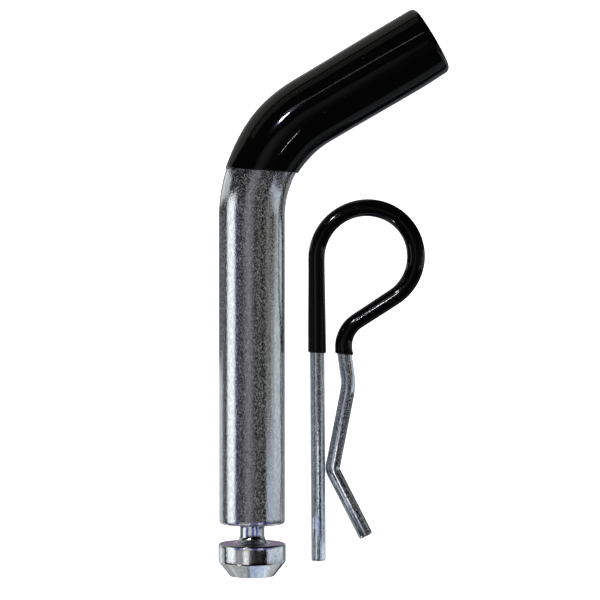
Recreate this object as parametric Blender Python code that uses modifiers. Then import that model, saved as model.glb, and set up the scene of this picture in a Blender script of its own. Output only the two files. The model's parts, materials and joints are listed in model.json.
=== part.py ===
"""Bent hitch pin with a vinyl-dipped handle, and its R-shaped spring clip lying beside it.

Metres, +Z up. The pin's shank lies along +Y and the origin is the centre of its flat tip.
Both pieces lie flat, as on a table: the pin's axis is at z = 0 and the clip is lower.
"""

import math

import bmesh
import bpy
from mathutils import Vector

MM = 0.001

# Pin: a round bar with a bent handle and, at its tip, a turned groove and head.
BAR_DIAMETER = 15.875 * MM
BEND_START = 86.3 * MM          # from the tip to where the shank begins to bend
BEND_RADIUS = 30.0 * MM         # on the bar's centre line
BEND_TURN = math.radians(59.4)
HANDLE_LENGTH = 33.6 * MM       # straight part after the bend, to the grip's outer end
BAR_EDGE_ROUND = 0.6 * MM

HEAD_DIAMETER = 16.3 * MM
HEAD_LENGTH = 7.9 * MM
HEAD_EDGE_ROUND = 0.5 * MM
TIP_DIAMETER = 10.7 * MM
TIP_CHAMFER_LENGTH = 3.5 * MM
NECK_DIAMETER = 5.95 * MM
GROOVE_WIDTH = 4.7 * MM         # between the head and the shank's shoulder
HEAD_FILLET = 2.0 * MM
SHOULDER_FILLET = 0.6 * MM
NECK_PLUG_LENGTH = 4.0 * MM     # how far the turned piece runs up inside the bar

# Grip: a dipped vinyl skin over the handle, closed at its outer end.
GRIP_DIAMETER_AT_BEND = 17.2 * MM
GRIP_DIAMETER_AT_END = 17.6 * MM
GRIP_END_WALL = 1.0 * MM
GRIP_END_ROUND = 1.6 * MM
DIP_LINE = 97.5 * MM            # height of the skin's lower edge above the tip
DIP_LINE_TILT = math.radians(-3.5)

# Clip: one spring wire. Each half is a run of straights and bends from the loop's crown.
WIRE_DIAMETER = 3.57 * MM
WIRE_END_ROUND = 0.45 * MM
COATING_DIAMETER = 4.4 * MM
CROWN = Vector((27.89 * MM, 88.62 * MM))
CROWN_SPLIT = 0.5 * MM          # cut in the crown that lets the spring leg turn
LOOP_OUTER_RADIUS = 12.34 * MM  # crown round to the straight leg
LOOP_OUTER_TURN = math.radians(90.35)
STRAIGHT_LEG = 73.4 * MM
LOOP_INNER_RADIUS = 11.79 * MM  # crown round to the arm that comes back under the loop
LOOP_INNER_TURN = math.radians(146.9)
ARM = 10.6 * MM
ARM_BEND_RADIUS = 7.35 * MM
ARM_BEND_TURN = math.radians(64.85)
WAIST_TOP = 6.3 * MM
WAIST_RADIUS = 12.7 * MM
WAIST_TURN = math.radians(18.35)
WAIST_BOTTOM = 18.15 * MM
PINCH_RADIUS = 2.6 * MM         # the tight bend that bears on the straight leg
PINCH_TURN = math.radians(36.8)
TAIL = 17.2 * MM
COATED_STRAIGHT_LEG = 22.75 * MM  # coated length of the straight leg, below the loop
COATED_WAIST = 0.9 * MM           # coated length below the arm's bend

# Gaps between neighbours, and the fineness of round stretches.
GRIP_GAP = 0.3 * MM
COATING_GAP = 0.12 * MM
BAR_SIDES = 40
WIRE_SIDES = 16
STEP_ANGLE = math.radians(6.0)

BAR_RADIUS = BAR_DIAMETER / 2
WIRE_RADIUS = WIRE_DIAMETER / 2
COATING_RADIUS = COATING_DIAMETER / 2
SHOULDER = HEAD_LENGTH + GROOVE_WIDTH
TABLE = -GRIP_DIAMETER_AT_END / 2
CLIP_LEVEL = TABLE + COATING_RADIUS
UP_THE_SHANK = math.pi / 2

COLLECTION = "hitch_pin_with_spring_clip"
CUTTERS = "cutters"


# ---------------------------------------------------------------- scene and materials

def clear_scene():
    for thing in list(bpy.data.objects):
        bpy.data.objects.remove(thing, do_unlink=True)


def collection(name):
    made = bpy.data.collections.new(name)
    bpy.context.scene.collection.children.link(made)
    return made


def steel(name, colour, roughness):
    return principled(name, colour, roughness, 1.0)


def vinyl(name):
    return principled(name, (0.010, 0.010, 0.011), 0.16, 0.0)


def principled(name, colour, roughness, metallic):
    made = bpy.data.materials.new(name)
    made.use_nodes = True
    shader = made.node_tree.nodes["Principled BSDF"]
    shader.inputs["Base Color"].default_value = (*colour, 1.0)
    shader.inputs["Roughness"].default_value = roughness
    shader.inputs["Metallic"].default_value = metallic
    made.diffuse_color = (*colour, 1.0)
    return made


def pivot(name, location, parent=None):
    """An empty on a joint's axis, which the pieces of one body hang from."""
    made = bpy.data.objects.new(name, None)
    made.empty_display_size = 5 * MM
    parts.objects.link(made)
    made.location = location
    made.parent = parent
    return made


# ---------------------------------------------------------------- centre lines

def walk(heading, moves):
    """Points of a flat path from the origin. A move is (length,) or (radius, turn), left positive."""
    points = [Vector((0.0, 0.0))]
    for move in moves:
        if len(move) == 1:
            points.append(points[-1] + move[0] * direction(heading))
            continue
        radius, turn = move
        side = math.copysign(1.0, turn)
        centre = points[-1] + side * radius * direction(heading + math.pi / 2)
        steps = math.ceil(abs(turn) / STEP_ANGLE)
        for step in range(1, steps + 1):
            angle = heading + turn * step / steps
            points.append(centre - side * radius * direction(angle + math.pi / 2))
        heading += turn
    return points


def direction(heading):
    return Vector((math.cos(heading), math.sin(heading)))


def path_length(points):
    return sum((b - a).length for a, b in zip(points, points[1:]))


def stretch(points, start, end):
    """The part of a path between two distances along it."""
    kept = []
    done = 0.0
    for a, b in zip(points, points[1:]):
        length = (b - a).length
        near = max(start - done, 0.0)
        far = min(end - done, length)
        if far - near > 0.01 * MM:
            if not kept:
                kept.append(a.lerp(b, near / length))
            kept.append(a.lerp(b, far / length))
        done += length
    return kept


# ---------------------------------------------------------------- shapes

def sweep(name, points, radii, sides, capped=True):
    """A round bar along a flat path, as a welded mesh object at the world's origin."""
    curve = bpy.data.curves.new(name, "CURVE")
    curve.dimensions = "3D"
    curve.bevel_depth = 1.0 * MM
    curve.bevel_resolution = (sides - 4) // 2
    curve.use_fill_caps = capped
    spline = curve.splines.new("POLY")
    spline.points.add(len(points) - 1)
    for spot, point, radius in zip(spline.points, points, radii):
        spot.co = (point.x, point.y, 0.0, 1.0)
        spot.radius = radius / curve.bevel_depth
    guide = bpy.data.objects.new(name, curve)
    parts.objects.link(guide)
    graph = bpy.context.evaluated_depsgraph_get()
    mesh = bpy.data.meshes.new_from_object(guide.evaluated_get(graph))
    swept = bpy.data.objects.new(name, mesh)
    swept.matrix_world = guide.matrix_world
    bpy.data.objects.remove(guide)
    bpy.data.curves.remove(curve)
    weld(mesh)
    swept.name = name
    return swept


def weld(mesh):
    """Joins a swept bar's caps to its side, and makes each cap one flat face."""
    edit = bmesh.new()
    edit.from_mesh(mesh)
    bmesh.ops.remove_doubles(edit, verts=edit.verts, dist=0.001 * MM)
    cap_pieces = [face for face in edit.faces if len(face.verts) == 3]
    bmesh.ops.dissolve_faces(edit, faces=cap_pieces)
    bmesh.ops.recalc_face_normals(edit, faces=edit.faces)
    edit.to_mesh(mesh)
    edit.free()


def even(points, radius):
    return [radius] * len(points)


def tapered(points, start_radius, end_radius):
    """A radius for each point, growing evenly along the path."""
    whole = path_length(points)
    done = [path_length(points[: i + 1]) / whole for i in range(len(points))]
    return [start_radius + (end_radius - start_radius) * share for share in done]


def quarter(centre_radius, centre_height, radius, start_degrees, steps=5):
    """A quarter circle in a turned profile, anticlockwise from an angle, with both its ends."""
    turned = [math.radians(start_degrees + 90.0 * i / steps) for i in range(steps + 1)]
    return [
        (centre_radius + radius * math.cos(a), centre_height + radius * math.sin(a))
        for a in turned
    ]


def turned_solid(name, profile, sides):
    """A solid of revolution about its own Z, from (radius, height) points, top to bottom."""
    mesh = bpy.data.meshes.new(name)
    corners = [(radius, 0.0, height) for radius, height in profile]
    mesh.from_pydata(corners, [(i, i + 1) for i in range(len(corners) - 1)], [])
    solid = bpy.data.objects.new(name, mesh)
    screw = solid.modifiers.new("turn", "SCREW")
    screw.steps = sides
    screw.render_steps = sides
    screw.use_merge_vertices = True
    screw.merge_threshold = 0.005 * MM
    return solid


def bevel(thing, width, segments):
    made = thing.modifiers.new("edge", "BEVEL")
    made.width = width
    made.segments = segments
    made.limit_method = "ANGLE"
    made.angle_limit = math.radians(50)


def boolean(thing, operation, tool):
    made = thing.modifiers.new(operation.lower(), "BOOLEAN")
    made.operation = operation
    made.solver = "EXACT"
    made.object = tool


def as_cutter(thing):
    cutters.objects.link(thing)
    thing.hide_render = True
    thing.display_type = "WIRE"
    return thing


def as_part(thing, parent, material):
    parts.objects.link(thing)
    thing.parent = parent
    thing.data.materials.append(material)
    thing.data.shade_smooth()
    thing.data.set_sharp_from_angle(angle=math.radians(35))
    return thing


# ---------------------------------------------------------------- the pin

def bar_line():
    """The bar's centre line, from the shoulder up to the grip's outer end."""
    moves = [(BEND_START - SHOULDER,), (BEND_RADIUS, -BEND_TURN), (HANDLE_LENGTH,)]
    return [point + Vector((0.0, SHOULDER)) for point in walk(UP_THE_SHANK, moves)]


def head_profile():
    """Head, neck and the plug inside the bar, as (radius, height) from the top down."""
    neck = NECK_DIAMETER / 2
    head = HEAD_DIAMETER / 2
    flare = neck + SHOULDER_FILLET
    sink = 0.02 * MM            # the fillet ends just inside the shoulder, for a clean union
    shoulder_arc = quarter(flare, SHOULDER - SHOULDER_FILLET + sink, SHOULDER_FILLET, 90)
    head_arc = quarter(neck + HEAD_FILLET, HEAD_LENGTH + HEAD_FILLET, HEAD_FILLET, 180)
    rim_arc = quarter(head - HEAD_EDGE_ROUND, HEAD_LENGTH - HEAD_EDGE_ROUND, HEAD_EDGE_ROUND, 0, 3)
    return [
        (0.0, SHOULDER + NECK_PLUG_LENGTH),
        (flare, SHOULDER + NECK_PLUG_LENGTH),
        *shoulder_arc,
        *head_arc,
        *reversed(rim_arc),
        (head, TIP_CHAMFER_LENGTH),
        (TIP_DIAMETER / 2, 0.0),
        (0.0, 0.0),
    ]


def pin_shank(body):
    line = bar_line()
    bar = stretch(line, 0.0, path_length(line) - GRIP_END_WALL - GRIP_GAP)
    shank = sweep("pin_shank", bar, even(bar, BAR_RADIUS), BAR_SIDES)
    bevel(shank, BAR_EDGE_ROUND, 2)
    head = as_cutter(turned_solid("turned_head", head_profile(), BAR_SIDES))
    head.rotation_euler = (-math.pi / 2, 0.0, 0.0)
    boolean(shank, "UNION", head)
    as_part(shank, body, steel("zinc_plated_bar", (0.62, 0.64, 0.69), 0.28))


def pin_grip(body):
    line = bar_line()
    to_bend = BEND_START - SHOULDER
    skin = stretch(line, to_bend, path_length(line))
    radii = tapered(skin, GRIP_DIAMETER_AT_BEND / 2, GRIP_DIAMETER_AT_END / 2)
    grip = sweep("pin_grip", skin, radii, BAR_SIDES)
    bevel(grip, GRIP_END_ROUND, 4)

    bore = stretch(line, to_bend - BAR_RADIUS, path_length(line) - GRIP_END_WALL)
    hollow = sweep("grip_hollow", bore, even(bore, BAR_RADIUS + GRIP_GAP), BAR_SIDES)
    boolean(grip, "DIFFERENCE", as_cutter(hollow))
    boolean(grip, "DIFFERENCE", dip_line_cutter())
    as_part(grip, body, vinyl("grip_vinyl"))


def dip_line_cutter():
    """A block whose top face is the plane that the skin was dipped to."""
    angle = math.asin((DIP_LINE - BEND_START) / BEND_RADIUS)
    offset = BEND_RADIUS * (1 - math.cos(angle))
    side = 4 * BAR_DIAMETER
    edit = bmesh.new()
    bmesh.ops.create_cube(edit, size=side)
    bmesh.ops.translate(edit, verts=edit.verts, vec=(0.0, -side / 2, 0.0))
    mesh = bpy.data.meshes.new("dip_line_block")
    edit.to_mesh(mesh)
    edit.free()
    block = as_cutter(bpy.data.objects.new("dip_line_block", mesh))
    block.location = (offset, DIP_LINE, 0.0)
    block.rotation_euler = (0.0, 0.0, DIP_LINE_TILT)
    return block


# ---------------------------------------------------------------- the clip

def straight_half():
    """From the crown, round the loop's outer side and down the straight leg."""
    return walk(math.pi, [(LOOP_OUTER_RADIUS, LOOP_OUTER_TURN), (STRAIGHT_LEG,)])


def spring_half():
    """From the crown, round the loop, back under it and down the sprung leg to its tail."""
    return walk(0.0, [
        (LOOP_INNER_RADIUS, -LOOP_INNER_TURN),
        (ARM,),
        (ARM_BEND_RADIUS, ARM_BEND_TURN),
        (WAIST_TOP,),
        (WAIST_RADIUS, -WAIST_TURN),
        (WAIST_BOTTOM,),
        (PINCH_RADIUS, PINCH_TURN),
        (TAIL,),
    ])


def wire(name, line, body):
    run = stretch(line, CROWN_SPLIT / 2, path_length(line))
    made = sweep(name, run, even(run, WIRE_RADIUS), WIRE_SIDES)
    bevel(made, WIRE_END_ROUND, 1)
    as_part(made, body, steel(name + "_zinc", (0.50, 0.53, 0.58), 0.32))


def coating(name, line, covered, body):
    """The vinyl tube over a wire, from the crown's split as far along as it covers."""
    run = stretch(line, CROWN_SPLIT / 2, covered)
    made = sweep(name, run, even(run, COATING_RADIUS), WIRE_SIDES, capped=False)
    wall = made.modifiers.new("wall", "SOLIDIFY")
    wall.thickness = COATING_RADIUS - WIRE_RADIUS - COATING_GAP
    wall.offset = -1.0
    as_part(made, body, vinyl(name + "_vinyl"))


def build():
    pin = pivot("pin", (0.0, 0.0, 0.0))
    pin_shank(pin)
    pin_grip(pin)

    clip = pivot("clip", (CROWN.x, CROWN.y, CLIP_LEVEL))
    leg = pivot("clip_spring_leg", (0.0, 0.0, 0.0), clip)
    loop_outer = LOOP_OUTER_RADIUS * LOOP_OUTER_TURN
    loop_inner = LOOP_INNER_RADIUS * LOOP_INNER_TURN
    arm = ARM + ARM_BEND_RADIUS * ARM_BEND_TURN
    wire("clip_straight_wire", straight_half(), clip)
    wire("clip_spring_wire", spring_half(), leg)
    coating("clip_straight_coating", straight_half(), loop_outer + COATED_STRAIGHT_LEG, clip)
    coating("clip_spring_coating", spring_half(), loop_inner + arm + COATED_WAIST, leg)


clear_scene()
parts = collection(COLLECTION)
cutters = collection(CUTTERS)
build()
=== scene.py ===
"""Hitch pin with its spring clip: the finished look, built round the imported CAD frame.

Every piece is a skin of rings along a flat route, so that its surface follows the same line as
the CAD solid it stands for. Metres, +Z up; the shank lies along +Y with its tip at the origin.
"""

import json
import math

import bpy
from mathutils import Matrix, Vector


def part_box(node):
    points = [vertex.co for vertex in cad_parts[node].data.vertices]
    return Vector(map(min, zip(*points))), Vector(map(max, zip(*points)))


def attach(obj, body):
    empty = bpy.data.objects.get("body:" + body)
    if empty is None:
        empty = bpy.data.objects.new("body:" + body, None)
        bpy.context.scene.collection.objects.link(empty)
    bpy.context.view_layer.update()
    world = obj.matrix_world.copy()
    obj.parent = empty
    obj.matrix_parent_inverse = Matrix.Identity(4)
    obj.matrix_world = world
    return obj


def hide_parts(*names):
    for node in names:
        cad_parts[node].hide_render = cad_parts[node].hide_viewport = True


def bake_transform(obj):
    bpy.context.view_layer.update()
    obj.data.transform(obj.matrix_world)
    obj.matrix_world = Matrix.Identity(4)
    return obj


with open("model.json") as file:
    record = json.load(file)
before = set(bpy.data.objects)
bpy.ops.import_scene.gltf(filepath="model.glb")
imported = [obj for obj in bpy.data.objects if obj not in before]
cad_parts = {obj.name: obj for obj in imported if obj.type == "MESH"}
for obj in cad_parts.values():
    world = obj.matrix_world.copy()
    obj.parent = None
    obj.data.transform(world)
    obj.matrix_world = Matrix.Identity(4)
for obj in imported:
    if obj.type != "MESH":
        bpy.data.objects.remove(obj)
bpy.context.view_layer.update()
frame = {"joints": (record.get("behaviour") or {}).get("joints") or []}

MM = 0.001
UP_THE_SHANK = math.pi / 2

# Sizes read from the frame.
shank_low, shank_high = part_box("pin_shank")
grip_low, grip_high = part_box("pin_grip")
wire_low, wire_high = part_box("clip_straight_wire")
coat_low, coat_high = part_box("clip_straight_coating")
CROWN = Vector(next(j["pos_m"] for j in frame["joints"] if j["type"] == "hinge"))

HEAD_RADIUS = shank_high.z
WIRE_RADIUS = (wire_high.z - wire_low.z) / 2
COAT_RADIUS = (coat_high.z - coat_low.z) / 2
GRIP_END_RADIUS = -grip_low.z
TABLE = grip_low.z
CLIP_LEVEL = TABLE + COAT_RADIUS

# The pin: tip, head, neck, shank, bend and handle.
BAR_RADIUS = 15.875 / 2 * MM
BEND_START = 86.3 * MM
BEND_RADIUS = 30.0 * MM
BEND_TURN = math.radians(59.4)
HANDLE_LENGTH = 33.6 * MM
HEAD_LENGTH = 7.9 * MM
HEAD_EDGE = 0.5 * MM
TIP_RADIUS = 5.35 * MM
TIP_EDGE = 0.25 * MM
TIP_CHAMFER_LENGTH = 3.5 * MM
TIP_CHAMFER_EDGE = 0.8 * MM
NECK_RADIUS = 5.95 / 2 * MM
SHOULDER = 12.6 * MM
HEAD_FILLET = 2.0 * MM
SHOULDER_FILLET = 0.6 * MM
SHOULDER_EDGE = 0.6 * MM

# The grip: a dipped skin, thin at its lower edge and thicker inside the bend.
GRIP_LIP_RADIUS = 8.25 * MM
GRIP_BEND_RADIUS = 8.62 * MM
GRIP_LIP_SHIFT = 0.05 * MM        # how much fuller the skin is on the handle's inner side
GRIP_END_SHIFT = 0.12 * MM
GRIP_THICKENING = 12.0 * MM       # length over which the skin thickens from its lip
GRIP_END_TAPER = 0.12 * MM
GRIP_END_WALL = 1.0 * MM
GRIP_END_ROUND = 1.5 * MM
GRIP_END_DOME = 0.35 * MM
GRIP_END_LENGTH = 9.0 * MM        # from the handle's end back to the skin's thickest place
GRIP_JOIN = 6.0 * MM              # from where the skin's rings stand upright to the bend's end
BORE_STOP = 0.5 * MM              # from the dip line to the last ring of the bore
DIP_LINE = 97.5 * MM
DIP_LINE_SLOPE = math.tan(math.radians(-3.5))
SKIN_GAP = 0.02 * MM

# The clip, from the straight leg's foot: (length,) or (radius, turn), left turns positive.
STRAIGHT_LEG = (73.4 * MM,)
LOOP_OUTER = (12.348 * MM, math.radians(-90.39))
LOOP_INNER = (11.791 * MM, math.radians(-146.88))
ARM = (10.59 * MM,)
ARM_BEND = (7.356 * MM, math.radians(64.83))
WAIST_TOP = (6.49 * MM,)
WAIST_BEND = (12.25 * MM, math.radians(-19.0))
WAIST_BOTTOM = (17.88 * MM,)
PINCH = (2.6 * MM, math.radians(37.92))
TAIL = (17.35 * MM,)
COATED_LEG = 22.75 * MM           # below the loop
COATED_WAIST = 0.9 * MM           # below the arm's bend
LEG_DIP_SLOPE = -0.06
LEG_DIP_FADE = 6.0 * MM           # from the coating's end to where its rings stand upright
WAIST_DIP_SLOPE = -0.24
WAIST_DIP_FADE = 4.0 * MM
DIP_DEPTH = 0.5 * MM              # length at each end that leans as the dip line does
WIRE_EDGE = 0.45 * MM
COAT_EDGE = 0.3 * MM
FLEX_OUTER_TURN = math.radians(35)    # how far the loop's own piece reaches from the crown
FLEX_INNER_TURN = math.radians(90)

# How fine the skins are: sides round a bar, and the spacing of their rings along it.
BAR_SIDES = 96
WIRE_SIDES = 48
BAR_RINGS = 0.8 * MM
WIRE_RINGS = 0.6 * MM
COAT_RINGS = 0.4 * MM
END_HOLE = 0.5 * MM               # radius of the small ring that a flat end's fan starts from
WIRE_END_HOLE = 0.3 * MM


# ---------------------------------------------------------------- routes

def direction(heading):
    """A flat unit vector, by its angle from +X."""
    return Vector((math.cos(heading), math.sin(heading)))


def eased(knots, distance):
    """A value read from (distance, value) knots, easing in and out between them."""
    for (start, low), (end, high) in zip(knots, knots[1:]):
        if distance <= end:
            share = min(max((distance - start) / (end - start), 0.0), 1.0)
            return low + (high - low) * share * share * (3 - 2 * share)
    return knots[-1][1]


class Route:
    """A flat path of straights and bends, followed by distance from its start."""

    def __init__(self, start, heading, moves, level=0.0):
        self.level = level
        self.parts = []
        self.ends = []
        point = Vector(start)
        done = 0.0
        for move in moves:
            radius, turn = move if len(move) == 2 else (0.0, 0.0)
            length = abs(radius * turn) or move[0]
            self.parts.append((done, length, point, heading, radius, turn))
            point, heading = self.along(self.parts[-1], length)
            done += length
            self.ends.append(done)

    def along(self, part, distance):
        """Point and heading at a distance into one straight or bend."""
        _, length, point, heading, radius, turn = part
        if not radius:
            return point + distance * direction(heading), heading
        side = math.copysign(radius, turn)
        centre = point + side * direction(heading + math.pi / 2)
        turned = heading + turn * distance / length
        return centre - side * direction(turned + math.pi / 2), turned

    def at(self, distance):
        """Point and heading at a distance from the start."""
        found = self.parts[0]
        for part in self.parts:
            if part[0] <= distance:
                found = part
        return self.along(found, distance - found[0])

    def place(self, distance, radius, angle):
        """A point round the path. Angle 0 is to the right of the path, a quarter turn is up."""
        point, heading = self.at(distance)
        flat = point + radius * math.cos(angle) * direction(heading - math.pi / 2)
        return Vector((flat.x, flat.y, self.level + radius * math.sin(angle)))


# ---------------------------------------------------------------- skins

def spread(start, end, spacing):
    """Even distances from start to end, both included."""
    steps = max(1, math.ceil(abs(end - start) / spacing))
    return [start + (end - start) * i / steps for i in range(steps + 1)]


def rounded(corners, spacing, steps=6):
    """Rings along a profile of (distance, radius, round) corners, with an arc at each."""
    line = []
    for i, (distance, radius, size) in enumerate(corners):
        here = Vector((distance, radius))
        if not size:
            line.append(here)
            continue
        back = (Vector(corners[i - 1][:2]) - here).normalized()
        on = (Vector(corners[i + 1][:2]) - here).normalized()
        half = back.angle(on) / 2
        middle = here + (back + on).normalized() * size / math.sin(half)
        reach = size / math.tan(half)
        first = here + back * reach - middle
        turn = first.angle_signed(here + on * reach - middle)
        for k in range(steps + 1):
            spoke = first.copy()
            spoke.rotate(Matrix.Rotation(-turn * k / steps, 2))
            line.append(middle + spoke)
    rings = [line[0]]
    for here in line[1:]:
        before = rings[-1].copy()
        for share in spread(0.0, 1.0, spacing / max((here - before).length, 1e-9))[1:]:
            rings.append(before.lerp(here, share))
    return [tuple(ring) for ring in rings]


def lip(end, radius, edge, facing):
    """Rings round the rim of an end face. Facing is -1 at a route's start and 1 at its end."""
    turned = [math.pi / 2 * i / 6 for i in range(7)]
    rings = [
        (end - facing * edge * (1 - math.cos(t)), radius - edge * (1 - math.sin(t)))
        for t in turned
    ]
    return rings if facing < 0 else rings[::-1]


def skin(name, route, rings, sides, closed=False, sharp=35):
    """A closed surface through rings, each a (distance, radius) or a function of the angle.

    An open list of rings is closed by a point at each end; a closed one joins its last ring to
    its first, as a tube's outside and inside do. The attribute bar_space holds where each point
    would be if the route were straight, so that a material's grain follows the bends.
    """
    angles = [2 * math.pi * i / sides for i in range(sides)]
    worked = [[ring(a) if callable(ring) else ring for a in angles] for ring in rings]
    points = []
    unrolled = []
    for ring in worked:
        for angle, (distance, radius) in zip(angles, ring):
            points.append(route.place(distance, radius, angle))
            unrolled += (radius * math.cos(angle), distance, radius * math.sin(angle))
    following = [(i + 1) % sides for i in range(sides)]
    faces = []
    for ring in range(len(rings) if closed else len(rings) - 1):
        near = ring * sides
        far = (ring + 1) % len(rings) * sides
        faces += [(near + i, far + i, far + j, near + j) for i, j in enumerate(following)]
    if not closed:
        for ring in (0, len(rings) - 1):
            first = ring * sides
            centre = len(points)
            points.append(sum(points[first:first + sides], Vector((0, 0, 0))) / sides)
            unrolled += (0.0, worked[ring][0][0], 0.0)
            rim = [(first + i, first + j) for i, j in enumerate(following)]
            faces += [(a, b, centre) if ring == 0 else (b, a, centre) for a, b in rim]
    mesh = bpy.data.meshes.new(name)
    mesh.from_pydata(points, [], faces)
    mesh.shade_smooth()
    mesh.set_sharp_from_angle(angle=math.radians(sharp))
    straight = mesh.attributes.new("bar_space", "FLOAT_VECTOR", "POINT")
    straight.data.foreach_set("vector", unrolled)
    made = bpy.data.objects.new(name, mesh)
    bpy.context.scene.collection.objects.link(made)
    return made


# ---------------------------------------------------------------- the pin

pin_route = Route((0.0, 0.0), UP_THE_SHANK,
                  [(BEND_START,), (BEND_RADIUS, -BEND_TURN), (HANDLE_LENGTH,)])
PIN_END = pin_route.ends[-1]
BAR_END = PIN_END - GRIP_END_WALL - SKIN_GAP


def steel_pin():
    """The turned tip and neck, and the bar up to its hidden end inside the grip."""
    return skin("steel_pin", pin_route, rounded([
        (0.0, END_HOLE, 0.0),
        (0.0, TIP_RADIUS, TIP_EDGE),
        (TIP_CHAMFER_LENGTH, HEAD_RADIUS, TIP_CHAMFER_EDGE),
        (HEAD_LENGTH, HEAD_RADIUS, HEAD_EDGE),
        (HEAD_LENGTH, NECK_RADIUS, HEAD_FILLET),
        (SHOULDER, NECK_RADIUS, SHOULDER_FILLET),
        (SHOULDER, BAR_RADIUS, SHOULDER_EDGE),
        (BAR_END, BAR_RADIUS, SHOULDER_EDGE),
        (BAR_END, END_HOLE, 0.0),
    ], BAR_RINGS), BAR_SIDES)


def dip_distance(radius, angle):
    """Where a line along the bar, at a radius and angle, meets the dip line's slanting plane."""
    low, high = BEND_START, BEND_START + BEND_RADIUS * BEND_TURN
    for _ in range(30):
        middle = (low + high) / 2
        point = pin_route.place(middle, radius, angle)
        if point.y < DIP_LINE + DIP_LINE_SLOPE * point.x:
            low = middle
        else:
            high = middle
    return low


def grip_radius(distance, angle):
    """The vinyl's radius: thin at the lip, and a little fuller on the handle's inner side."""
    bend_end = pin_route.ends[1]
    lip_at = dip_distance(BAR_RADIUS, math.pi / 2)
    thick = lip_at + GRIP_THICKENING
    taper = PIN_END - GRIP_END_LENGTH
    middle = eased([(lip_at, GRIP_LIP_RADIUS), (thick, GRIP_BEND_RADIUS),
                    (bend_end, GRIP_BEND_RADIUS), (taper, GRIP_END_RADIUS),
                    (PIN_END, GRIP_END_RADIUS - GRIP_END_TAPER)], distance)
    shift = eased([(lip_at, GRIP_LIP_SHIFT), (thick, 0.0), (bend_end, GRIP_END_SHIFT),
                   (taper, GRIP_END_SHIFT), (PIN_END, 0.0)], distance)
    return middle + shift * math.cos(angle)


def vinyl_grip():
    """A closed cap: up the bore's blind end, down the bore, round the lip, and up the outside."""
    bore = BAR_RADIUS + SKIN_GAP
    join = pin_route.ends[1] - GRIP_JOIN

    def lip_ring(turn):
        def ring(angle):
            outside = grip_radius(dip_distance(bore, angle), angle)
            half = (outside - bore) / 2
            radius = bore + half * (1 - math.cos(turn))
            return dip_distance(radius, angle) + half * (1 - math.sin(turn)), radius
        return ring

    def bore_ring(share):
        return lambda angle: (join + (dip_distance(bore, angle) + BORE_STOP - join) * share, bore)

    def outer_ring(share):
        def ring(angle):
            start = lip_ring(math.pi)(angle)[0]
            distance = start + (join - start) * share
            return distance, grip_radius(distance, angle)
        return ring

    rings = [(BAR_END + SKIN_GAP, END_HOLE), (BAR_END + SKIN_GAP, bore)]
    rings += [(s, bore) for s in spread(BAR_END, join, 2 * MM)[1:-1]]
    rings += [bore_ring(share) for share in spread(0.0, 1.0, 0.1)]
    rings += [lip_ring(turn) for turn in spread(0.0, math.pi, math.pi / 8)]
    rings += [outer_ring(share) for share in spread(0.0, 1.0, 0.03)[1:-1]]
    shoulder = PIN_END - GRIP_END_DOME - GRIP_END_ROUND
    for distance in spread(join, shoulder, BAR_RINGS):
        rings.append(lambda angle, s=distance: (s, grip_radius(s, angle)))
    flat = grip_radius(PIN_END, 0.0) - GRIP_END_ROUND
    for turn in spread(0.0, math.pi / 2, math.pi / 20)[1:]:
        rings.append((shoulder + GRIP_END_ROUND * math.sin(turn),
                      flat + GRIP_END_ROUND * math.cos(turn)))
    for share in (0.85, 0.7, 0.55, 0.4, 0.25, 0.1):
        rings.append((PIN_END - GRIP_END_DOME * share ** 2, flat * share))
    return skin("vinyl_grip", pin_route, rings, BAR_SIDES)


# ---------------------------------------------------------------- the clip

leg_down = Route(CROWN.xy, math.pi, [(LOOP_OUTER[0], -LOOP_OUTER[1]), STRAIGHT_LEG])
foot, down = leg_down.at(leg_down.ends[-1])
clip_route = Route(foot, down + math.pi, [
    STRAIGHT_LEG, LOOP_OUTER, LOOP_INNER, ARM, ARM_BEND, WAIST_TOP, WAIST_BEND, WAIST_BOTTOM,
    PINCH, TAIL], CLIP_LEVEL)
LOOP_START, CROWN_AT, LOOP_END, ARM_END, ARM_BEND_END = clip_route.ends[:5]
CLIP_END = clip_route.ends[-1]
COAT_START = LOOP_START - COATED_LEG
COAT_END = ARM_BEND_END + COATED_WAIST
FLEX_START = CROWN_AT - LOOP_OUTER[0] * FLEX_OUTER_TURN
FLEX_END = CROWN_AT + LOOP_INNER[0] * FLEX_INNER_TURN
COAT_BORE = WIRE_RADIUS + SKIN_GAP

# The coating's outer radius along the clip: thinner on the upper left of the loop and the arm.
COAT_RADII = [
    (COAT_START, COAT_RADIUS), (COAT_START + 3 * MM, 2.17 * MM), (LOOP_START, 1.99 * MM),
    (FLEX_START, 1.99 * MM), (CROWN_AT + 4 * MM, 2.12 * MM), (FLEX_END, 2.19 * MM),
    (LOOP_END, 2.05 * MM), (ARM_END, 1.98 * MM), (ARM_BEND_END, 2.1 * MM),
    (COAT_END, COAT_RADIUS)]


def dip_slope(distance):
    """How far the coating's rings lean: to the dip line at its two ends, and upright between."""
    return eased([(COAT_START + DIP_DEPTH, LEG_DIP_SLOPE), (COAT_START + LEG_DIP_FADE, 0.0),
                  (COAT_END - WAIST_DIP_FADE, 0.0), (COAT_END - DIP_DEPTH, WAIST_DIP_SLOPE)],
                 distance)


def clip_wire(name, start, end):
    """A length of the wire, with a rounded rim where it ends in the open."""
    rings = [(start, WIRE_END_HOLE)]
    rings += [(s, WIRE_RADIUS) for s in spread(start, end, WIRE_RINGS)]
    rings += [(end, WIRE_END_HOLE)]
    if start == 0.0:
        rings[1:2] = lip(start, WIRE_RADIUS, WIRE_EDGE, -1)
    if end == CLIP_END:
        rings[-2:-1] = lip(end, WIRE_RADIUS, WIRE_EDGE, 1)
    return skin(name, clip_route, rings, WIRE_SIDES)


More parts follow.
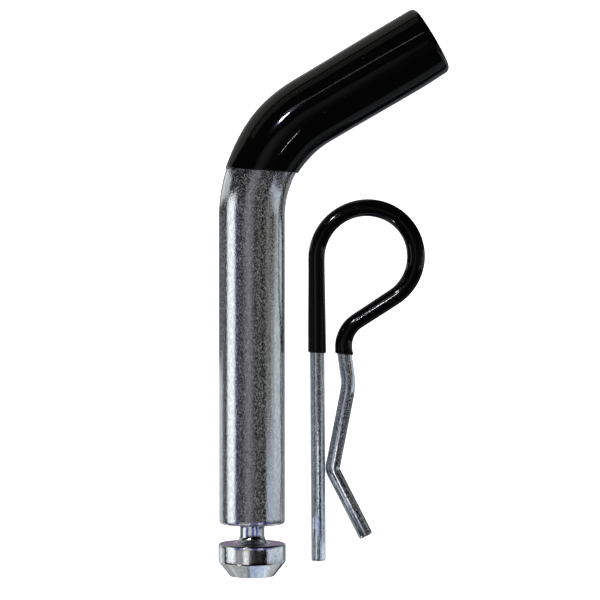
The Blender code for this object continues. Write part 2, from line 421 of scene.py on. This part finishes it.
def slanted(ring, slope):
    """A ring on a plane that leans across the wire, as the dip line does."""
    distance, radius = ring
    return lambda angle: (distance + slope * radius * math.cos(angle), radius)


def clip_coating(name, start, end):
    """A length of the vinyl round the wire, whose open end follows the dip line."""
    outside = [(s, eased(COAT_RADII, s)) for s in spread(start, end, COAT_RINGS)]
    if start == COAT_START:
        outside[:1] = lip(start, outside[0][1], COAT_EDGE, -1)
    if end == COAT_END:
        outside[-1:] = lip(end, outside[-1][1], COAT_EDGE, 1)
    rings = outside + [(s, COAT_BORE) for s in spread(end, start, WIRE_RINGS)]
    rings = [slanted(ring, dip_slope(ring[0])) for ring in rings]
    return skin(name, clip_route, rings, WIRE_SIDES, closed=True)


# ---------------------------------------------------------------- materials

def node(tree, kind, **settings):
    """A new node. A setting names one of its properties, or else one of its inputs."""
    made = tree.nodes.new(kind)
    for key, value in settings.items():
        if hasattr(made, key):
            setattr(made, key, value)
        else:
            made.inputs[key.replace("_", " ").title()].default_value = value
    return made


def bar_coordinates(tree, stretch):
    """Millimetres along the straightened bar, scaled so that grain can run along it."""
    place = node(tree, "ShaderNodeAttribute", attribute_name="bar_space")
    scale = node(tree, "ShaderNodeVectorMath", operation="MULTIPLY")
    scale.inputs[1].default_value = [factor / MM for factor in stretch]
    tree.links.new(place.outputs["Vector"], scale.inputs[0])
    return scale.outputs["Vector"]


def noise(tree, stretch, scale, detail, roughness=0.5):
    """Noise in the straightened bar's millimetres, drawn out along the bar by a small stretch."""
    made = node(tree, "ShaderNodeTexNoise", Scale=scale, Detail=detail, Roughness=roughness)
    tree.links.new(bar_coordinates(tree, stretch), made.inputs["Vector"])
    return made.outputs["Fac"]


def ramp(tree, value, stops):
    """A colour ramp of (place, colour) stops, where a colour may be one grey."""
    made = node(tree, "ShaderNodeValToRGB")
    elements = made.color_ramp.elements
    while len(elements) < len(stops):
        elements.new(0.5)
    for element, (place, colour) in zip(elements, stops):
        element.position = place
        shade = (colour,) * 3 if isinstance(colour, float) else colour
        element.color = (*shade, 1.0)
    tree.links.new(value, made.inputs["Fac"])
    return made.outputs["Color"]


def arithmetic(tree, operation, a, b):
    """A Math node on two values, each a number or another node's output."""
    made = node(tree, "ShaderNodeMath", operation=operation)
    for socket, value in zip(made.inputs, (a, b)):
        if isinstance(value, (int, float)):
            socket.default_value = value
        else:
            tree.links.new(value, socket)
    return made.outputs["Value"]


def bump(tree, height, depth, under=None):
    """Relief of a depth in metres, laid over another bump's normal."""
    made = node(tree, "ShaderNodeBump", Strength=1.0, Distance=depth)
    tree.links.new(height, made.inputs["Height"])
    if under:
        tree.links.new(under, made.inputs["Normal"])
    return made.outputs["Normal"]


def principled(name, **settings):
    """A new material, with its node tree and the sockets of its Principled shader."""
    material = bpy.data.materials.new(name)
    material.use_nodes = True
    shader = material.node_tree.nodes["Principled BSDF"]
    for key, value in settings.items():
        shader.inputs[key.replace("_", " ")].default_value = value
    return material, material.node_tree, shader.inputs


def zinc(name, light, dark, pitting, grain, drawn_from=0.0):
    """Bright zinc plate with matt pits in it, longer along the bar. Turned stretches have none."""
    material, tree, sockets = principled(name)
    speckle = noise(tree, (1.0, 0.6, 1.0), 3.4 * grain, detail=2.0, roughness=0.6)
    mottle = noise(tree, (1.0, 0.5, 1.0), 1.5 * grain, detail=3.0, roughness=0.6)
    streak = noise(tree, (1.0, 0.05, 1.0), 1.4 * grain, detail=2.0)
    tree.links.new(ramp(tree, mottle, [(0.38, dark), (0.62, light)]), sockets["Base Color"])
    tree.links.new(ramp(tree, mottle, [(0.35, 0.07), (0.65, 0.15)]), sockets["Roughness"])
    along = node(tree, "ShaderNodeSeparateXYZ")
    tree.links.new(bar_coordinates(tree, (1.0, 1.0, 1.0)), along.inputs["Vector"])
    drawn = arithmetic(tree, "GREATER_THAN", along.outputs["Y"], drawn_from / MM)
    pits = ramp(tree, speckle, [(0.44, 0.0), (0.70, pitting)])
    matt = arithmetic(tree, "MULTIPLY", pits, drawn)
    tree.links.new(arithmetic(tree, "SUBTRACT", 1.0, matt), sockets["Metallic"])
    relief = bump(tree, speckle, 0.022 * MM)
    relief = bump(tree, mottle, 0.014 * MM, relief)
    relief = bump(tree, streak, 0.004 * MM, relief)
    tree.links.new(relief, sockets["Normal"])
    return material


def vinyl(name, roughness, waviness, shine):
    """Black dipped vinyl: glossy, with a slow orange-peel wave and a little dust."""
    material, tree, sockets = principled(name, Metallic=0.0)
    sockets["Specular IOR Level"].default_value = shine
    dust = noise(tree, (1.0, 1.0, 1.0), 1.9, detail=2.0, roughness=0.8)
    tree.links.new(ramp(tree, dust, [(0.74, (0.0012, 0.0012, 0.0012)), (0.80, (0.1, 0.1, 0.09))]),
                   sockets["Base Color"])
    film = noise(tree, (1.0, 0.4, 1.0), 0.5, detail=3.0)
    tree.links.new(ramp(tree, film, [(0.3, roughness), (0.7, roughness * 1.7)]),
                   sockets["Roughness"])
    wave = noise(tree, (1.0, 0.5, 1.0), 0.35, detail=1.0)
    relief = bump(tree, wave, waviness)
    relief = bump(tree, dust, 0.004 * MM, relief)
    tree.links.new(relief, sockets["Normal"])
    return material


ZINC_BAR = zinc("zinc_plated_bar", (0.62, 0.63, 0.65), (0.50, 0.50, 0.52), 0.27, 1.0,
                SHOULDER - 0.1 * MM)
ZINC_WIRE = zinc("zinc_plated_wire", (0.69, 0.74, 0.79), (0.54, 0.58, 0.63), 0.28, 1.2)
GRIP_VINYL = vinyl("grip_vinyl", 0.05, 0.012 * MM, 0.45)
CLIP_VINYL = vinyl("clip_vinyl", 0.06, 0.008 * MM, 0.3)


# ---------------------------------------------------------------- assembly

def finished(piece, material, slot, *replaced):
    """A piece with its material and the nodes it stands for; the slot's name is not used."""
    piece.data.materials.append(material)
    if replaced:
        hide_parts(*replaced)
    return piece


def riding(body, piece, *look):
    """A finished piece that follows one body."""
    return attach(finished(piece, *look), body)


def flexing(piece, *look):
    """A piece of the loop, between the two halves of the clip, with its place baked into its mesh;
    it follows neither half.
    """
    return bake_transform(finished(piece, *look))


riding("pin", steel_pin(), ZINC_BAR, "zinc_plated_bar", "pin_shank")
riding("pin", vinyl_grip(), GRIP_VINYL, "grip_vinyl", "pin_grip")

riding("clip", clip_wire("straight_leg_wire", 0.0, FLEX_START),
       ZINC_WIRE, "zinc_plated_wire", "clip_straight_wire")
flexing(clip_wire("loop_wire", FLEX_START, FLEX_END), ZINC_WIRE, "zinc_plated_wire")
riding("clip_spring_leg", clip_wire("spring_leg_wire", FLEX_END, CLIP_END),
       ZINC_WIRE, "zinc_plated_wire", "clip_spring_wire")

riding("clip", clip_coating("straight_leg_coating", COAT_START, FLEX_START),
       CLIP_VINYL, "clip_vinyl", "clip_straight_coating")
flexing(clip_coating("loop_coating", FLEX_START, FLEX_END), CLIP_VINYL, "clip_vinyl")
riding("clip_spring_leg", clip_coating("spring_leg_coating", FLEX_END, COAT_END),
       CLIP_VINYL, "clip_vinyl", "clip_spring_coating")


# ---------------------------------------------------------------- floor, light and camera

def spot(x, y, z=0.0):
    """A place given in millimetres."""
    return Vector((x, y, z)) * MM


MIDDLE = spot(11.545, 66.4)       # what the camera and most lights are centred on
TIP = spot(0.0, 2.0)
BEND = spot(2.0, 94.0)
KEY_SPOT = spot(8.6, 104.0, 8.0)  # on the grip, inside the bend
ARM_MIDDLE = spot(28.8, 64.0, CLIP_LEVEL / MM)
TAIL_MIDDLE = spot(23.0, 16.0)
LEG_X = 15.7                      # millimetres from the shank's axis to the straight leg's
WHITE = (1.0, 1.0, 1.0)
NAVY = (0.2, 0.2, 1.0)
ROOM_LIGHT = 1.1
FLOOR_SIZE = 6.0                  # metres
FLOOR_GREY = 0.93
FLOOR_GLOW = 0.95
LIGHT_DISTANCE = 600              # millimetres, as are the other sizes of lights below
TABLE_LIGHT_DISTANCE = 300
HEAD_SPAN = (-10, 5.5)            # where along the shank's axis the head's strips lie
HEAD_DISTANCE = 30
NECK_SPAN = (6.5, 10)
NECK_DISTANCE = 25
TIP_DISTANCE = 120
CAMERA_LENS = 162.45              # millimetres, as is the sensor's width
CAMERA_SENSOR = 36.0
CAMERA_HEIGHT = 650 * MM
CAMERA_SHIFT = 16 * MM            # towards the handle, tilted back to the middle
FLOOR_GAP = 0.02 * MM


def lay_floor():
    """A plain white table, which the metal and vinyl don't show as a reflection."""
    bpy.ops.mesh.primitive_plane_add(size=FLOOR_SIZE, location=(0.0, 0.0, TABLE - FLOOR_GAP))
    floor = bpy.context.object
    floor.name = "floor"
    floor.visible_glossy = False
    floor.visible_shadow = False
    material, _, sockets = principled("floor", Roughness=0.9)
    sockets["Base Color"].default_value = (FLOOR_GREY, FLOOR_GREY, FLOOR_GREY, 1.0)
    sockets["Specular IOR Level"].default_value = 0.0
    sockets["Emission Color"].default_value = (1.0, 1.0, 1.0, 1.0)
    sockets["Emission Strength"].default_value = FLOOR_GLOW
    floor.data.materials.append(material)


def area_light(name, place, width, length, turn, radiance, colour, fade=90):
    """A flat light seen only in reflections, in millimetres. Its light fades out at an angle."""
    data = bpy.data.lights.new(name, "AREA")
    data.shape = "RECTANGLE"
    data.size = width * MM
    data.size_y = length * MM
    data.energy = radiance * math.pi * data.size * data.size_y
    data.color = colour
    if fade < 90:
        half = math.radians(fade)
        data.spread = 2 * half
        data.energy *= 1 - half / math.tan(half)
    light = bpy.data.objects.new(name, data)
    light.location = place
    light.rotation_euler = turn
    light.visible_camera = False
    light.visible_diffuse = False
    bpy.context.scene.collection.objects.link(light)


def strip(name, first, last, near, far, radiance, colour,
          distance=LIGHT_DISTANCE, fade=90, about=0.0):
    """A softbox along the shank, from one angle off overhead to another, left being negative.

    Angles in degrees and sizes in millimetres. About is the x of the axis it turns on.
    """
    middle = math.radians((first + last) / 2)
    width = 2 * distance * math.tan(math.radians(abs(last - first) / 2))
    place = Vector((math.sin(middle) * distance, (near + far) / 2, math.cos(middle) * distance))
    place.x += about
    area_light(name, place * MM, width, far - near, (0.0, middle, 0.0), radiance, colour, fade)


def lamp(name, heading, tilt, width, length, radiance, colour, spin=0,
         centre=MIDDLE, distance=LIGHT_DISTANCE, aim=None, fade=90):
    """A light by its heading from +X and its angle down from overhead, aimed at one spot.

    Angles in degrees, and width, length and distance in millimetres.
    """
    around = math.radians(heading)
    down = math.radians(tilt)
    out = Vector((math.sin(down) * math.cos(around), math.sin(down) * math.sin(around),
                  math.cos(down)))
    place = centre + out * distance * MM
    facing = place - (aim or centre)
    turn = facing.to_track_quat("Z", "Y").to_matrix()
    turn = turn @ Matrix.Rotation(math.radians(spin), 3, "Z")
    area_light(name, place, width, length, turn.to_euler(), radiance, colour, fade)


def even_room():
    """White light from all round, which the metal and vinyl don't show as a reflection."""
    world = bpy.data.worlds.new("studio")
    bpy.context.scene.world = world
    world.use_nodes = True
    background = world.node_tree.nodes["Background"].inputs
    background["Color"].default_value = (1.0, 1.0, 1.0, 1.0)
    background["Strength"].default_value = ROOM_LIGHT
    world.cycles_visibility.glossy = False


def shank_bands():
    """The long reflections on the shank, from its left edge round to its right one."""
    strip("left_table", -175, -104, -100, 90, 0.12, (0.85, 0.93, 1.0), TABLE_LIGHT_DISTANCE)
    strip("left_table_low", -175, -122, -100, 36, 0.62, (0.9, 0.97, 1.0), TABLE_LIGHT_DISTANCE)
    strip("left_panel", -95, -59.5, -100, 180, 1.2, (0.92, 1.0, 1.0))
    strip("left_panel_core", -88, -64, -100, 180, 0.4, WHITE)
    strip("left_indigo", -60.5, -38, -100, 150, 0.11, (0.5, 0.45, 1.0))
    strip("overhead", -40, 48, -100, 130, 0.02, (1.0, 0.97, 1.0))
    strip("overhead_left", -36, 14, -100, 190, 0.26, (0.95, 0.92, 1.0), fade=24)
    strip("overhead_right", 14, 38, -100, 170, 0.07, (1.0, 1.0, 0.85), fade=12)
    strip("right_low", 53, 84, -68, -20, 0.95, (0.75, 0.85, 1.0))
    strip("right_middle", 70, 84, -15, 60, 0.45, (0.88, 0.95, 1.0))
    strip("right_upper", 84, 98, 60, 300, 0.28, (1.0, 1.0, 0.93))
    strip("right_warm", 44, 76, -15, 300, 0.24, (1.0, 1.0, 0.85), fade=16)
    strip("right_panel", 84, 98, -68, 60, 0.85, (0.8, 0.92, 1.0))
    strip("right_table", 98, 128, -68, 140, 0.75, (0.88, 0.98, 1.0))
    strip("right_table_dim", 128, 175, -100, 140, 0.25, (0.9, 0.95, 1.0), TABLE_LIGHT_DISTANCE)
    strip("under", 160, 200, -300, 300, 0.3, (0.85, 0.75, 1.0), TABLE_LIGHT_DISTANCE)


def key_lights():
    """The small bright highlights on the grip, the arm, the loop and the wire."""
    lamp("key_left", 127, 37, 36, 28, 200.0, WHITE, 30)
    lamp("key_left_halo", 127, 37, 80, 64, 5.0, (0.33, 0.28, 1.0), 30)
    lamp("key_left_tail", 112, 38.5, 6, 260, 4.5, WHITE, 60)
    lamp("key_right", -38, 30, 9, 9, 130.0, WHITE, aim=KEY_SPOT, fade=0.5)
    lamp("arm_key", 121, 17, 12, 11, 240.0, WHITE, centre=ARM_MIDDLE, distance=250, fade=5)
    lamp("loop_key", -125, 68, 40, 30, 60.0, WHITE)
    strip("leg_centre", -36, -16, -10, 90, 0.95, (0.86, 0.93, 1.0),
          distance=40, fade=11, about=LEG_X)
    lamp("tail_centre", 90, 0, 15, 24, 4.5, WHITE, 28,
         centre=TAIL_MIDDLE, distance=80, fade=12)


def tip_lights():
    """The reflections on the turned tip: its chamfer, its head and its neck."""
    lamp("tip_lilac", -78, 90, 80, 80, 0.95, (0.66, 0.77, 1.0),
         centre=TIP, distance=TIP_DISTANCE)
    lamp("tip_right", -47, 112, 66, 110, 0.62, (0.92, 0.99, 1.0),
         centre=TIP, distance=TIP_DISTANCE)
    lamp("tip_left", -119, 95, 88, 84, 0.6, (0.95, 1.0, 1.0),
         centre=TIP, distance=TIP_DISTANCE)
    lamp("tip_left_low", -137, 128, 80, 84, 0.5, (0.95, 1.0, 1.0),
         centre=TIP, distance=TIP_DISTANCE)
    strip("head_table", -124, -96, *HEAD_SPAN, 0.6, (0.92, 1.0, 1.0), HEAD_DISTANCE)
    strip("head_left", -62, -8, *HEAD_SPAN, 0.42, (0.97, 1.0, 1.0), HEAD_DISTANCE)
    strip("head_streak", -25, -9, *HEAD_SPAN, 0.75, WHITE, HEAD_DISTANCE)
    strip("head_right", 50, 128, *HEAD_SPAN, 0.5, (0.84, 0.93, 1.0), HEAD_DISTANCE)
    strip("neck_navy_left", -66, -38, *NECK_SPAN, 0.4, NAVY, NECK_DISTANCE)
    strip("neck_streak", -34, -2, *NECK_SPAN, 0.8, (0.88, 0.92, 1.0), NECK_DISTANCE)
    strip("neck_navy_right", 0, 60, *NECK_SPAN, 0.35, NAVY, NECK_DISTANCE)
    strip("neck_spark", 18, 34, *NECK_SPAN, 0.9, (0.9, 0.95, 1.0), NECK_DISTANCE)


def side_lights():
    """Wide dim lights that lift the edges of the grip, the bend and the loop."""
    lamp("bend_left", 168, 122, 100, 560, 0.75, (0.93, 1.0, 1.0), centre=BEND)
    lamp("right_under", -48, 100, 700, 330, 0.2, (0.85, 0.97, 1.0))
    lamp("upper_left_low", 121, 128, 800, 700, 0.3, (1.0, 1.0, 0.93))
    lamp("upper_left_side", 121, 82, 600, 200, 0.15, (1.0, 1.0, 0.95))


def set_camera():
    """Almost straight above the table, a little towards the handle."""
    data = bpy.data.cameras.new("camera")
    data.lens = CAMERA_LENS
    data.sensor_width = CAMERA_SENSOR
    camera = bpy.data.objects.new("camera", data)
    camera.location = MIDDLE + Vector((0.0, CAMERA_SHIFT, CAMERA_HEIGHT))
    camera.rotation_euler = (-math.atan2(CAMERA_SHIFT, CAMERA_HEIGHT), 0.0, 0.0)
    bpy.context.scene.collection.objects.link(camera)
    bpy.context.scene.camera = camera


lay_floor()
even_room()
shank_bands()
key_lights()
tip_lights()
side_lights()
set_camera()
bpy.context.scene.view_settings.view_transform = "Standard"
